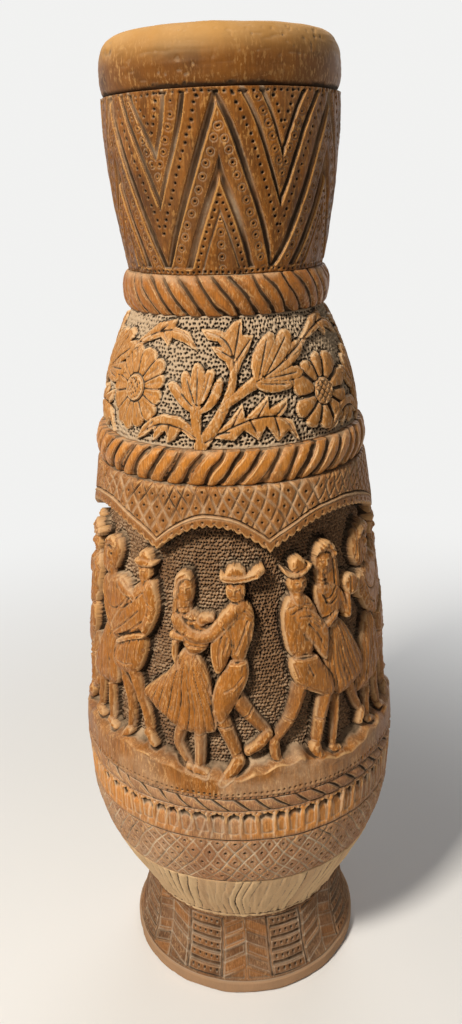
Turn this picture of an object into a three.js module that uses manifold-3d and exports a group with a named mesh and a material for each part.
// Carved wooden floor vase, built up from turned and bored sections of wood that stand on one
// another on spigots. Rope mouldings, a flower band, an arcade with dancing couples and a panelled
// foot are carved in the outside of the sections.
// Millimetres, +Z up. The origin is the centre of the sole and the front looks towards -Y.
// Angles are in degrees round the axis, from the front (-Y) towards +X.

import * as THREE from 'three';
import { mergeVertices } from 'three/addons/utils/BufferGeometryUtils.js';
import Module from 'manifold-3d';

// fits between the sections
const jointGap = 0.3;
const fitClearance = 0.3;
const spigotHeight = 12;
const spigotWall = 9;
const turnedSides = 48;
const boreSides = 32;

// foot: plain rim, then a panelled flare up to the waist
const footHeight = 74;
const footSoleRadius = 99.5;
const footRimRadius = 102.5;
const footRimHeight = 12;
const footRimStep = 1.5;
const footWaistRadius = 89.5;
const footFlareDip = 2.6;
const footPanelPairs = 8;
const footGrooveWidth = 2.4;
const footGrooveDepth = 1.6;
const footCutCount = 4;
const footCutPitch = 11.6;
const footCutWidth = 2.6;
const footCutDepth = 1.2;
const footChevronRise = 10.5;
const footBoreRadius = 46;
const footSpigotRadius = footBoreRadius + 16;

// turned plug that closes the bottom of the cavity and pins foot and bowl together
const plugSoleRecess = 4;
const plugFlangeRadius = footBoreRadius + spigotWall;
const plugFlangeThickness = 8;

// lower bowl: round belly with a reeded and latticed zone, flutes and a thin rope
const bowlHeight = 158;
const bowlBellyHeight = 116;
const bowlRadius = 131.5;
const bowlTopRadius = bowlRadius + 1;
const bowlRoundness = 1.12;
const bowlBoreFootRadius = plugFlangeRadius + 3;
const bowlBoreTopRadius = 92;
const bowlSpigotRadius = bowlBoreTopRadius + spigotWall;
const fluteCount = 75;
const fluteFoot = 119;
const fluteHeight = 15;
const fluteDepth = 1.8;
const thinRopeFoot = 143;
const thinRopeHeight = 11.5;
const thinRopeProud = 1.2;

// figure section: plain ledge, recessed frieze with dancers, scalloped arcade and lattice zone
const figureHeight = 237;
const figureFootRadius = bowlTopRadius + 0.5;
const figureTopRadius = 105.3;
const figureSwell = 2.7;
const figureBoreFootRadius = bowlBoreTopRadius;
const figureBoreTopRadius = 78;
const figureSpigotRadius = figureBoreTopRadius + spigotWall;
const ledgeHeight = 18;
const friezeFloorRise = 9;
const friezeDepth = 13;
const archEdgeDrop = 27.6;
const archRise = 20;
const archStepsPerHalf = 4;
const archCusps = [-94, -30, 13, 80, 126.5, 173, 219.5];
const archCrowns = [-62, -8.5, 43.5, 103.2, 149.8, 196.2, 242.8];
const couplesRound = [
  { angle: -86, forms: 'ladyAndHat', side: 1 },
  { angle: -44.5, forms: 'shawlPair', side: 1 },
  { angle: -7.6, forms: 'ladyAndHat', side: 1 },
  { angle: 28, forms: 'hatAndLady', side: 1 },
  { angle: 78, forms: 'shawlPair', side: 1 },
  { angle: 106, forms: 'shawlPair', side: -1 },
  { angle: 157, forms: 'hatAndLady', side: 1 },
  { angle: 220, forms: 'ladyAndHat', side: 1 },
];
const clothTaper = 0.88;
const limbCrownShare = 0.5;
const headSides = 6;

// middle rope ring
const middleRopeHeight = 25;
const middleRopeEdgeRadius = figureTopRadius - 3.8;
const middleRopeCrownRadius = middleRopeEdgeRadius + 4.3;
const middleRopeStrands = 46;
const middleRopeSlant = 1.5;
const middleRopeGrooveDepth = 2.4;
const middleRopeBoreRadius = figureBoreTopRadius - 2;
const middleRopeSpigotRadius = middleRopeBoreRadius + spigotWall;

// flower section
const flowerHeight = 87;
const flowerFootRadius = middleRopeEdgeRadius - 1;
const flowerTopRadius = 74;
const flowerSwell = 5;
const flowerRelief = 3;
const flowerFormTaper = 0.86;
const flowerBoreFootRadius = middleRopeBoreRadius - 2;
const flowerBoreTopRadius = 54;
const flowerSpigotRadius = flowerBoreTopRadius + spigotWall;
const daisyAngles = [-46.5, 45.5, 135, 224];
const daisyHeight = 36;
const daisyRadius = 28;
const daisyPetals = 12;
const daisyPetalShare = 0.9;
const daisyCentreRadius = 9.6;
const daisyCentreProud = 1;

// upper rope ring
const upperRopeHeight = 27.5;
const upperRopeEdgeRadius = flowerTopRadius - 1.5;
const upperRopeCrownRadius = upperRopeEdgeRadius + 4.7;
const upperRopeStrands = 38;
const upperRopeSlant = -1.5;
const upperRopeGrooveDepth = 2.4;
const upperRopeBoreRadius = flowerBoreTopRadius - 1;
const upperRopeSpigotRadius = upperRopeBoreRadius + spigotWall;

// neck section with nested zigzag bars
const neckHeight = 114;
const neckFootRadius = upperRopeEdgeRadius - 1;
const neckTopRadius = 84;
const neckSwell = 3.2;
const neckBorder = 2;
const neckBoreFootRadius = upperRopeBoreRadius - 1;
const neckTopWall = 25;
const neckBoreTopRadius = neckTopRadius - neckTopWall;
const neckSpigotRadius = neckBoreTopRadius + spigotWall;
const zigzagCount = 6;
const zigzagRise = 112;
const zigzagPitch = 38;
const zigzagBarHeight = 23;
const zigzagDepth = 2;
const zigzagStepsPerHalf = 3;

// rim ring
const rimHeight = 37.5;
const rimFootRadius = neckTopRadius - 2;
const rimRadius = neckTopRadius + 0.2;
const rimTopRadius = rimRadius - 13.2;
const rimShoulderHeight = 17;
const rimFootStep = 5;
const mouthRadius = neckBoreTopRadius + 1;
const mouthLipRadius = mouthRadius + 4;

// places of the sections along the axis, worked out from their heights
const bowlBase = footHeight;
const figureBase = bowlBase + bowlHeight;
const middleRopeBase = figureBase + figureHeight;
const flowerBase = middleRopeBase + middleRopeHeight;
const upperRopeBase = flowerBase + flowerHeight;
const neckBase = upperRopeBase + upperRopeHeight;
const rimBase = neckBase + neckHeight;
const vaseHeight = rimBase + rimHeight;
const overshoot = 2;
const seamOverlap = 0.5;

const wasm = await Module();
wasm.setup();

function toSolid(geometry) {
  const bare = geometry.clone();
  bare.deleteAttribute('normal');
  bare.deleteAttribute('uv');
  const merged = mergeVertices(bare, 1e-4);
  return new wasm.Manifold(new wasm.Mesh({
    numProp: 3,
    vertProperties: new Float32Array(merged.getAttribute('position').array),
    triVerts: new Uint32Array(merged.index.array),
  }));
}

function toGeometry(solid) {
  const mesh = solid.getMesh();
  const geometry = new THREE.BufferGeometry();
  geometry.setAttribute('position', new THREE.BufferAttribute(new Float32Array(mesh.vertProperties), 3));
  geometry.setIndex(new THREE.BufferAttribute(new Uint32Array(mesh.triVerts), 1));
  const flat = geometry.toNonIndexed();
  flat.computeVertexNormals();
  return flat;
}

const joinAll = (solids) => wasm.Manifold.union(solids);

function onAxis(radius, angle, height) {
  const turn = THREE.MathUtils.degToRad(angle);
  return new THREE.Vector3(radius * Math.sin(turn), -radius * Math.cos(turn), height);
}

// a profile of [radius, height] points turned round the axis
function turned(profile, sides = turnedSides) {
  const lathe = new THREE.LatheGeometry(profile.map(([r, z]) => new THREE.Vector2(r, z)), sides);
  lathe.rotateX(Math.PI / 2);
  return toSolid(lathe);
}

// a plain turned disc or cone between two heights
function turnedCone(footRadius, topRadius, foot, top, sides = turnedSides) {
  return turned([[0, foot], [footRadius, foot], [topRadius, top], [0, top]], sides);
}

// a skin over rings of points, which all have the same number of points and run anticlockwise
// seen from the far end; open ends are closed by fans, and a loop joins its last ring to its first
function skin(rings, loop = false) {
  const sides = rings[0].length;
  const points = rings.flat();
  const faces = [];
  const joins = loop ? rings.length : rings.length - 1;
  for (let i = 0; i < joins; i++) {
    const here = i * sides;
    const next = ((i + 1) % rings.length) * sides;
    for (let k = 0; k < sides; k++) {
      const turn = (k + 1) % sides;
      faces.push(here + k, here + turn, next + turn, here + k, next + turn, next + k);
    }
  }
  if (!loop) {
    for (const [start, flip] of [[0, true], [(rings.length - 1) * sides, false]]) {
      const middle = new THREE.Vector3();
      for (let k = 0; k < sides; k++) middle.addScaledVector(points[start + k], 1 / sides);
      const hub = points.push(middle) - 1;
      for (let k = 0; k < sides; k++) {
        const a = start + k;
        const b = start + (k + 1) % sides;
        faces.push(...(flip ? [hub, b, a] : [hub, a, b]));
      }
    }
  }
  const geometry = new THREE.BufferGeometry().setFromPoints(points);
  geometry.setIndex(faces);
  return toSolid(geometry);
}

const swollen = (foot, top, swell, t) => foot + (top - foot) * t + 4 * swell * t * (1 - t);
const footWall = (z) => {
  const t = (z - footRimHeight) / (footHeight - footRimHeight);
  return swollen(footRimRadius - footRimStep, footWaistRadius, -footFlareDip, t);
};
const bowlWall = (z) => {
  const t = (z - bowlBase) / bowlBellyHeight;
  if (t >= 1) {
    const above = (z - bowlBase - bowlBellyHeight) / (bowlHeight - bowlBellyHeight);
    return THREE.MathUtils.lerp(bowlRadius, bowlTopRadius, above);
  }
  const bulge = Math.sin(Math.PI / 2 * Math.max(t, 0)) ** bowlRoundness;
  return footWaistRadius + (bowlRadius - footWaistRadius) * bulge;
};
const figureWall = (z) => {
  return swollen(figureFootRadius, figureTopRadius, figureSwell, (z - figureBase) / figureHeight);
};
const flowerWall = (z) => {
  return swollen(flowerFootRadius, flowerTopRadius, flowerSwell, (z - flowerBase) / flowerHeight);
};
const neckWall = (z) => {
  return swollen(neckFootRadius, neckTopRadius, neckSwell, (z - neckBase) / neckHeight);
};

// a solid turned body whose side follows a wall, with evenly spaced rows
function turnedBody(wall, foot, top, rows, sides = turnedSides) {
  const profile = [[0, foot]];
  for (let i = 0; i <= rows; i++) {
    const z = THREE.MathUtils.lerp(foot, top, i / rows);
    profile.push([wall(z), z]);
  }
  profile.push([0, top]);
  return turned(profile, sides);
}

// bores a section, cuts the socket for the spigot below it and adds its own spigot on top
function fitSection(body, base, height, boreFoot, boreTop, socketSpigot, spigotRadius) {
  const top = base + height - jointGap;
  const spigotTop = spigotRadius ? top + spigotHeight : top;
  let solid = body;
  if (spigotRadius) {
    solid = solid.add(turnedCone(spigotRadius, spigotRadius, top - overshoot, spigotTop, boreSides));
  }
  const slope = (boreTop - boreFoot) / height;
  const below = base - overshoot;
  const above = spigotTop + overshoot;
  solid = solid.subtract(turnedCone(
    boreFoot + slope * (below - base), boreFoot + slope * (above - base), below, above, boreSides));
  if (socketSpigot) {
    const socket = socketSpigot + fitClearance;
    solid = solid.subtract(turnedCone(socket, socket, below, base + spigotHeight, boreSides));
  }
  return solid;
}

// a rope moulding: a half-round ring cut into slanting strands, solid to the axis
function ropeBody(foot, top, edgeRadius, crownRadius, strands, slant, grooveDepth) {
  const rows = 4;
  const columns = strands * 2;
  const rings = [];
  for (let i = 0; i <= rows; i++) {
    const t = i / rows;
    const crown = Math.sin(Math.PI * t);
    const ring = [];
    for (let k = 0; k < columns; k++) {
      const groove = k % 2 === 0 ? grooveDepth * crown : 0;
      const radius = edgeRadius + (crownRadius - edgeRadius) * crown - groove;
      const angle = 360 * (k / 2 + slant * (t - 0.5)) / strands;
      ring.push(onAxis(radius, angle, THREE.MathUtils.lerp(foot, top, t)));
    }
    rings.push(ring);
  }
  return skin(rings);
}

// Foot: plain rim below, upright grooves between the panels of the flare above, and cuts across
// the panels, level in one panel and rising to its middle in the next
function makeFoot() {
  const top = footHeight - jointGap;
  const rim = turned([
    [0, 0], [footSoleRadius, 0], [footRimRadius, footRimRadius - footSoleRadius],
    [footRimRadius, footRimHeight], [0, footRimHeight],
  ], footPanelPairs * 4);
  const ring = (level, sunk, chevron) => {
    const half = THREE.MathUtils.radToDeg(footGrooveWidth / 2 / footWall(level));
    const wall = footWall(level) - sunk;
    const points = [];
    for (let i = 0; i < footPanelPairs * 2; i++) {
      const angle = (i + 0.5) * 180 / footPanelPairs;
      points.push(onAxis(wall, angle - half, level));
      points.push(onAxis(footWall(level) - footGrooveDepth, angle, level));
      points.push(onAxis(wall, angle + half, level));
      if (i % 2 === 0) continue;
      const middle = level + chevron;
      points.push(onAxis(footWall(middle) - sunk, angle + 90 / footPanelPairs, middle));
    }
    return points;
  };
  const rings = [ring(footRimHeight, 0, 0)];
  for (let i = 1; i <= footCutCount; i++) {
    const level = footRimHeight + footRimStep + i * footCutPitch;
    rings.push(ring(level - footCutWidth / 2, 0, footChevronRise));
    rings.push(ring(level, footCutDepth, footChevronRise));
    rings.push(ring(level + footCutWidth / 2, 0, footChevronRise));
  }
  rings.push(ring(top, 0, 0));
  return fitSection(joinAll([rim, skin(rings)]), 0, footHeight, footBoreRadius, footBoreRadius, 0,
    footSpigotRadius);
}

// Plug through the foot, with a flange on the floor of the cavity
function makePlug() {
  const shank = footBoreRadius - fitClearance;
  const seat = footHeight + spigotHeight;
  return turned([
    [0, plugSoleRecess], [shank, plugSoleRecess], [shank, seat], [plugFlangeRadius, seat],
    [plugFlangeRadius, seat + plugFlangeThickness], [0, seat + plugFlangeThickness],
  ], boreSides);
}

// a band of upright flutes, solid to the axis
function fluteBody(foot, top) {
  const rings = [foot, THREE.MathUtils.lerp(foot, top, 0.75), top].map((z, row) => {
    const depth = row < 2 ? fluteDepth : 0;
    return Array.from({ length: fluteCount * 2 }, (_, k) => {
      return onAxis(bowlWall(z) - (k % 2 ? depth : 0), 180 * k / fluteCount, z);
    });
  });
  return skin(rings);
}

// Lower bowl
function makeBowl() {
  const top = figureBase - jointGap;
  const flutes = bowlBase + fluteFoot;
  const fluteTop = flutes + fluteHeight;
  const rope = bowlBase + thinRopeFoot;
  const beadWall = (z) => {
    const crown = Math.sin(Math.PI * (z - rope) / thinRopeHeight);
    return bowlWall(z) - seamOverlap + (thinRopeProud + seamOverlap) * crown;
  };
  const body = joinAll([
    turnedBody(bowlWall, bowlBase, flutes, 9),
    fluteBody(flutes, fluteTop),
    turnedBody(bowlWall, fluteTop, top, 1),
    turnedBody(beadWall, rope, rope + thinRopeHeight, 4),
  ]);
  return fitSection(body, bowlBase, bowlHeight, bowlBoreFootRadius, bowlBoreTopRadius,
    footSpigotRadius, bowlSpigotRadius);
}

// lower edge of the arcade: low at the cusps between the arches, high at their crowns
function archEdge(angle) {
  const turn = (a) => THREE.MathUtils.euclideanModulo(a - archCusps[0], 360);
  const here = turn(angle);
  const crown = figureBase + figureHeight - archEdgeDrop;
  for (let i = 0; i < archCusps.length; i++) {
    const start = turn(archCusps[i]);
    const end = i + 1 < archCusps.length ? turn(archCusps[i + 1]) : 360;
    const peak = turn(archCrowns[i]);
    if (here < start || here > end) continue;
    const share = here < peak ? (here - start) / (peak - start) : (end - here) / (end - peak);
    return crown - archRise * (1 - Math.sin(Math.PI / 2 * share) ** 0.9);
  }
  return crown - archRise;
}

// The recess of the frieze, a ring-shaped cutter with its top along the arcade
function makeRecess() {
  const floor = figureBase + ledgeHeight;
  const angles = [];
  archCusps.forEach((cusp, i) => {
    const next = i + 1 < archCusps.length ? archCusps[i + 1] : archCusps[0] + 360;
    for (let k = 0; k < archStepsPerHalf; k++) {
      angles.push(THREE.MathUtils.lerp(cusp, archCrowns[i], k / archStepsPerHalf));
    }
    for (let k = 0; k < archStepsPerHalf; k++) {
      angles.push(THREE.MathUtils.lerp(archCrowns[i], next, k / archStepsPerHalf));
    }
  });
  const rings = angles.map((angle) => {
    const edge = archEdge(angle);
    const back = floor + friezeFloorRise;
    const middle = (back + edge) / 2;
    const slope = friezeFloorRise / friezeDepth * overshoot;
    return [
      onAxis(figureWall(back) - friezeDepth, angle, back),
      onAxis(figureWall(middle) - friezeDepth, angle, middle),
      onAxis(figureWall(edge) - friezeDepth, angle, edge),
      onAxis(figureWall(floor) + overshoot, angle, edge),
      onAxis(figureWall(floor) + overshoot, angle, floor - slope),
    ];
  });
  return skin(rings, true);
}

// Forms of the couples of the frieze, from the back to the front. Points are across and up from the
// middle of the feet, and a level is the depth of a form's face below the wall. A limb has its half
// widths at its start and end, a cloth its outline, and a head its middle and half sizes.
const limb = (level, start, end, ...line) => ({ kind: 'limb', level, start, end, line });
const cloth = (level, ...outline) => ({ kind: 'cloth', level, outline });
const head = (level, middle, size) => ({ kind: 'head', level, middle, size });

const coupleForms = {
  ladyAndHat: [
    limb(4.5, 5, 3.6, [-31, 26], [-25, -7]),
    limb(3, 5, 4, [-17, 28], [-18, -8]),
    limb(4, 7.5, 4.6, [13, 52], [38, 20]),
    limb(3.4, 4.6, 4, [38, 21], [23, 9]),
    limb(2.6, 6.2, 5, [1, 36], [11, -1]),
    limb(1.2, 4.8, 3.8, [13, -1], [1, -10]),
    cloth(3.6, [-33, 130], [-30, 145], [-19, 149], [-14, 136], [-27, 91], [-36, 92]),
    cloth(2.6, [-24, 90], [-11, 88], [-3, 50], [0, 27], [-22, 22], [-48, 31], [-67, 44], [-36, 69]),
    cloth(3.4, [-28, 117], [-16, 119], [-5, 102], [-3, 84], [-24, 84]),
    head(1.6, [-20, 134], [6.6, 10]),
    cloth(2.2, [8, 124], [20, 129], [30, 117], [22, 80], [10, 80], [6, 104]),
    cloth(1.4, [10, 82], [23, 84], [25, 71], [15, 49], [6, 31], [-1, 31], [-4, 55]),
    limb(0.9, 4.8, 3.8, [25, 123], [25, 108], [16, 95]),
    limb(0.8, 4.6, 4.4, [-24, 113], [-11, 98], [13, 119]),
    head(1.2, [17.5, 136], [7.2, 10]),
    cloth(0.6, [4, 143], [7, 151], [15, 157], [25, 157], [38, 143]),
  ],
  hatAndLady: [
    limb(3.2, 7.5, 5, [-11, 52], [-26, 20], [-27, 1]),
    limb(4.8, 4.6, 3.6, [23, 34], [17, -8]),
    limb(4.8, 4.8, 3.6, [40, 32], [50, 10], [40, -8]),
    limb(2.2, 7, 4.8, [11, 44], [-3, -3]),
    limb(1.2, 4.6, 3.6, [-5, -4], [9, -8]),
    cloth(3.8, [6, 141], [13, 154], [25, 154], [32, 135], [31, 104], [24, 104]),
    cloth(2.8, [14, 85], [30, 84], [46, 67], [59, 38], [54, 24], [34, 24], [18, 38], [10, 62]),
    cloth(3, [7, 121], [25, 122], [36, 110], [23, 83], [14, 83], [8, 102]),
    limb(1.8, 4.4, 3, [31, 113], [39, 95], [42, 118]),
    cloth(2, [35, 126], [63, 122], [71, 115], [60, 99], [53, 110], [43, 110]),
    head(1.8, [15, 139], [6.6, 10]),
    cloth(2, [-20, 123], [-5, 127], [4, 118], [8, 87], [1, 76], [-19, 77], [-24, 100]),
    cloth(1.4, [-20, 80], [2, 77], [15, 61], [27, 38], [22, 29], [-4, 39], [-21, 48]),
    limb(0.6, 6, 4, [-1, 119], [8, 90], [23, 97]),
    head(1.2, [-10, 135], [7.2, 10]),
    cloth(0.8, [-21, 151], [-21, 145], [-7, 138], [3, 140], [1, 153], [-8, 157], [-14, 150]),
  ],
  shawlPair: [
    limb(4, 5, 4.4, [-47, 26], [-52, -3]),
    limb(4, 4.8, 4, [-28, 32], [-26, -4]),
    limb(3, 6.2, 4.6, [-6, 49], [3, 22], [2, -2]),
    limb(2.6, 6.4, 4.8, [3, 54], [25, 4]),
    cloth(3.4, [-48, 133], [-46, 146], [-24, 160], [-15, 154], [-28, 124], [-42, 124]),
    cloth(2.8, [-33, 88], [-19, 76], [-13, 34], [-30, 28], [-56, 24], [-71, 28], [-58, 52]),
    cloth(3, [-43, 121], [-26, 128], [-9, 130], [2, 118], [-20, 73], [-36, 88]),
    head(1.6, [-29, 144], [8, 11]),
    cloth(2.2, [4, 126], [22, 134], [27, 120], [23, 91], [-21, 73], [-25, 83]),
    cloth(1.2, [-12, 76], [20, 89], [20, 74], [10, 51], [-8, 46], [-22, 56]),
    limb(0.6, 5.6, 4.4, [22, 129], [26, 112], [21, 94]),
    head(1.2, [16, 140], [7, 9.5]),
    cloth(1, [8, 148], [12, 156], [24, 155], [24, 147], [11, 143]),
  ],
};

// A point of the frieze at a depth below the wall
function friezePoint(angle, across, up, depth) {
  const height = figureBase + ledgeHeight + friezeFloorRise + up;
  const radius = figureWall(height) - depth;
  return onAxis(radius, angle + THREE.MathUtils.radToDeg(across / figureWall(height)), height);
}

// A form with an outline, a little narrower at its face than on the ground
function clothSolid(angle, outline, level) {
  const edge = outline.map(([x, y]) => new THREE.Vector2(x, y));
  if (THREE.ShapeUtils.isClockWise(edge)) edge.reverse();
  const middle = new THREE.Vector2();
  for (const point of edge) middle.addScaledVector(point, 1 / edge.length);
  const ring = (share, depth) => edge.map((point) => {
    const place = middle.clone().lerp(point, share);
    return friezePoint(angle, place.x, place.y, depth);
  });
  return skin([ring(1, friezeDepth + overshoot), ring(clothTaper, level)]);
}

// A ridge along a line, from the ground up
function limbSolid(angle, line, start, end, level) {
  const points = line.map(([x, y]) => new THREE.Vector2(x, y));
  const rings = points.map((point, i) => {
    const before = points[Math.max(i - 1, 0)];
    const after = points[Math.min(i + 1, points.length - 1)];
    const run = after.clone().sub(before).normalize();
    const half = THREE.MathUtils.lerp(start, end, i / (points.length - 1));
    const ground = friezeDepth + overshoot;
    const section = [[1, ground], [limbCrownShare, level], [-limbCrownShare, level], [-1, ground]];
    return section.map(([side, depth]) => {
      return friezePoint(angle, point.x - run.y * side * half, point.y + run.x * side * half, depth);
    });
  });
  return skin(rings);
}

// A couple of dancers, seen in a mirror where side is -1
function couple({ angle, forms, side }) {
  const turn = ([x, y]) => [x * side, y];
  return coupleForms[forms].map((form) => {
    if (form.kind === 'limb') {
      return limbSolid(angle, form.line.map(turn), form.start, form.end, form.level);
    }
    const round = form.kind === 'head'
      ? circleOutline(1, headSides).map(([x, y]) => {
        return [form.middle[0] + x * form.size[0], form.middle[1] + y * form.size[1]];
      })
      : form.outline;
    return clothSolid(angle, round.map(turn), form.level);
  });
}

// Figure section
function makeFigureSection() {
  const top = middleRopeBase - jointGap;
  const body = turnedBody(figureWall, figureBase, top, 8).subtract(makeRecess());
  const dancers = joinAll(couplesRound.flatMap(couple));
  return fitSection(body.add(dancers), figureBase, figureHeight,
    figureBoreFootRadius, figureBoreTopRadius, bowlSpigotRadius, figureSpigotRadius);
}

function makeMiddleRope() {
  const body = ropeBody(middleRopeBase, flowerBase - jointGap, middleRopeEdgeRadius,
    middleRopeCrownRadius, middleRopeStrands, middleRopeSlant, middleRopeGrooveDepth);
  return fitSection(body, middleRopeBase, middleRopeHeight, middleRopeBoreRadius,
    middleRopeBoreRadius, figureSpigotRadius, middleRopeSpigotRadius);
}

// A flat carved form of the flower band: an outline of [across, up] points round its own middle,
// laid on the wall at an angle and height
function flowerForm(angle, height, outline, relief) {
  const rings = [[-overshoot, 1], [relief, flowerFormTaper]].map(([out, share]) => {
    return outline.map(([across, up]) => {
      const z = flowerBase + height + up * share;
      const wall = flowerWall(z) - flowerRelief;
      return onAxis(wall + out, angle + THREE.MathUtils.radToDeg(across * share / wall), z);
    });
  });
  return skin(rings);
}

// A leaf or petal outline along a direction, pointed at both ends
function leafOutline(length, width, direction) {
  const turn = THREE.MathUtils.degToRad(direction);
  return [[-0.5, 0], [0, 0.5], [0.5, 0], [0, -0.5]].map(([a, b]) => {
    const along = a * length;
    const wide = b * width;
    return [
      along * Math.cos(turn) - wide * Math.sin(turn),
      along * Math.sin(turn) + wide * Math.cos(turn),
    ];
  }).reverse();
}

function daisyOutline() {
  const outline = [];
  for (let i = 0; i < daisyPetals * 2; i++) {
    const turn = Math.PI * i / daisyPetals;
    const radius = daisyRadius * (i % 2 ? daisyPetalShare : 1);
    outline.push([radius * Math.cos(turn), radius * Math.sin(turn)]);
  }
  return outline;
}

function circleOutline(radius, sides) {
  return Array.from({ length: sides }, (_, i) => {
    const turn = 2 * Math.PI * i / sides;
    return [radius * Math.cos(turn), radius * Math.sin(turn)];
  });
}

// A spray between two daisies: leaves and petals of [across, up, length, width, direction]
const sprayForms = [
  [-6, 33, 66, 8, 68],
  [5, 66, 30, 13, 100],
  [-34, 14, 40, 14, 150],
  [16, 14, 54, 14, 18],
  [-14, 43, 26, 10, 62],
  [-22, 43, 26, 10, 118],
  [31, 50, 32, 11, 12],
  [25, 60, 32, 11, 60],
];

function spray(angle) {
  return sprayForms.map(([across, up, length, width, direction]) => {
    const turn = THREE.MathUtils.radToDeg(across / flowerWall(flowerBase + up));
    return flowerForm(angle + turn, up, leafOutline(length, width, direction), flowerRelief);
  });
}

function makeFlowerSection() {
  const top = upperRopeBase - jointGap;
  let body = turnedBody((z) => flowerWall(z) - flowerRelief, flowerBase, top, 4, 40);
  const forms = [];
  daisyAngles.forEach((angle, i) => {
    forms.push(flowerForm(angle, daisyHeight, daisyOutline(), flowerRelief));
    forms.push(flowerForm(angle, daisyHeight, circleOutline(daisyCentreRadius, 8),
      flowerRelief + daisyCentreProud));
    const next = i + 1 < daisyAngles.length ? daisyAngles[i + 1] : daisyAngles[0] + 360;
    forms.push(...spray((angle + next) / 2));
  });
  body = body.add(joinAll(forms));
  return fitSection(body, flowerBase, flowerHeight, flowerBoreFootRadius, flowerBoreTopRadius,
    middleRopeSpigotRadius, flowerSpigotRadius);
}

function makeUpperRope() {
  const body = ropeBody(upperRopeBase, neckBase - jointGap, upperRopeEdgeRadius,
    upperRopeCrownRadius, upperRopeStrands, upperRopeSlant, upperRopeGrooveDepth);
  return fitSection(body, upperRopeBase, upperRopeHeight, upperRopeBoreRadius,
    upperRopeBoreRadius, flowerSpigotRadius, upperRopeSpigotRadius);
}

// The zigzag zone as a stack of zigzag rings, proud on the bars and sunk between them
function zigzagBody(foot, top) {
  const columns = zigzagCount * 2 * zigzagStepsPerHalf;
  const ring = (level, sunk) => Array.from({ length: columns }, (_, k) => {
    const share = Math.abs((k / zigzagStepsPerHalf) % 2 - 1);
    const z = level + zigzagRise * share;
    return onAxis(neckWall(z) - sunk, 360 * k / columns, z);
  });
  const rings = [];
  for (let level = foot - zigzagRise - zigzagPitch; level < top + zigzagPitch; level += zigzagPitch) {
    rings.push(ring(level, zigzagDepth), ring(level, 0));
    rings.push(ring(level + zigzagBarHeight, 0), ring(level + zigzagBarHeight, zigzagDepth));
  }
  const zone = turnedCone(neckTopRadius * 2, neckTopRadius * 2, foot, top, 12);
  return skin(rings).intersect(zone);
}

function makeNeck() {
  const top = rimBase - jointGap;
  const zoneFoot = neckBase + neckBorder;
  const zoneTop = top - neckBorder;
  const sides = zigzagCount * 2 * zigzagStepsPerHalf;
  const body = joinAll([
    turnedBody(neckWall, neckBase, zoneFoot, 1, sides),
    zigzagBody(zoneFoot, zoneTop),
    turnedBody(neckWall, zoneTop, top, 1, sides),
  ]);
  return fitSection(body, neckBase, neckHeight, neckBoreFootRadius, neckBoreTopRadius,
    upperRopeSpigotRadius, neckSpigotRadius);
}

// Rim: a thick rounded ring, smooth inside and out
function makeRim() {
  const roundSteps = 5;
  const profile = [[0, rimBase], [rimFootRadius, rimBase], [rimRadius, rimBase + rimFootStep]];
  for (let i = 0; i <= roundSteps; i++) {
    const turn = Math.PI / 2 * i / roundSteps;
    profile.push([
      rimTopRadius + (rimRadius - rimTopRadius) * Math.cos(turn),
      rimBase + rimShoulderHeight + (rimHeight - rimShoulderHeight) * Math.sin(turn),
    ]);
  }
  profile.push([0, vaseHeight]);
  const lip = mouthLipRadius - mouthRadius;
  const chamfer = turnedCone(mouthRadius - overshoot, mouthLipRadius + overshoot,
    vaseHeight - lip - overshoot, vaseHeight + overshoot, boreSides);
  const solid = fitSection(turned(profile), rimBase, rimHeight + jointGap, mouthRadius, mouthRadius,
    neckSpigotRadius, 0);
  return solid.subtract(chamfer);
}

const woods = {
  rim: { color: 0xa8662f, roughness: 0.45 },
  body: { color: 0xa9713c, roughness: 0.6 },
  rope: { color: 0xb0702f, roughness: 0.5 },
  bowl: { color: 0xb07f52, roughness: 0.65 },
  foot: { color: 0x8a6747, roughness: 0.7 },
  plug: { color: 0x9a7a55, roughness: 0.8 },
};

const pieces = [
  ['foot', makeFoot, woods.foot],
  ['base_plug', makePlug, woods.plug],
  ['lower_bowl', makeBowl, woods.bowl],
  ['figure_section', makeFigureSection, woods.body],
  ['middle_rope_ring', makeMiddleRope, woods.rope],
  ['flower_section', makeFlowerSection, woods.body],
  ['upper_rope_ring', makeUpperRope, woods.rope],
  ['neck_section', makeNeck, woods.body],
  ['rim_ring', makeRim, woods.rim],
];

const vase = new THREE.Group();
vase.name = 'carved_wooden_vase';
for (const [name, make, finish] of pieces) {
  const material = new THREE.MeshStandardMaterial({ ...finish, metalness: 0 });
  const mesh = new THREE.Mesh(toGeometry(make()), material);
  mesh.name = name;
  vase.add(mesh);
}

export default vase;
